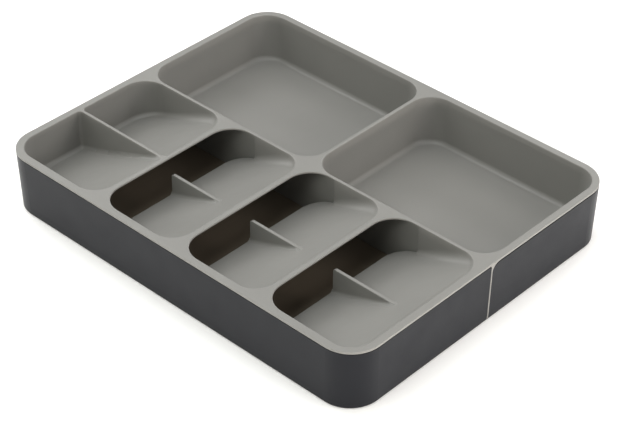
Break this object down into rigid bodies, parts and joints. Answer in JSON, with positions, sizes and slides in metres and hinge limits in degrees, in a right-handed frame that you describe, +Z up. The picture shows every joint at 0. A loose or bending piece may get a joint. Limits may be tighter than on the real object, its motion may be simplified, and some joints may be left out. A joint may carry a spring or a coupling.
{
  "type": "drawer organizer insert",
  "caption": "Rectangular drawer organizer with open rounded trays along one side and a row of ramped, overlapping cutlery lanes along the other, light top on a dark base.",
  "frame": {"origin": "centre of the footprint, on the plane that the feet rest on", "axes": "+X along the long side, towards the high end of each ramp; +Y from the cutlery lanes towards the large trays; +Z up, out of the open trays"},
  "size_m": [0.395, 0.315, 0.057],
  "materials": {
    "light_plastic": "fine satin moulded texture",
    "dark_plastic": "fine satin moulded texture",
    "foot_rubber": "soft matte"
  },
  "bodies": {
    "root": {"upper_tray": "light_plastic", "front_base_shell": "dark_plastic", "rear_base_shell": "dark_plastic", "front_foot_left_outer": "foot_rubber", "front_foot_left_inner": "foot_rubber", "front_foot_right_outer": "foot_rubber", "front_foot_right_inner": "foot_rubber", "rear_foot_left_outer": "foot_rubber", "rear_foot_left_inner": "foot_rubber", "rear_foot_right_outer": "foot_rubber", "rear_foot_right_inner": "foot_rubber"}
  },
  "joints": []
}
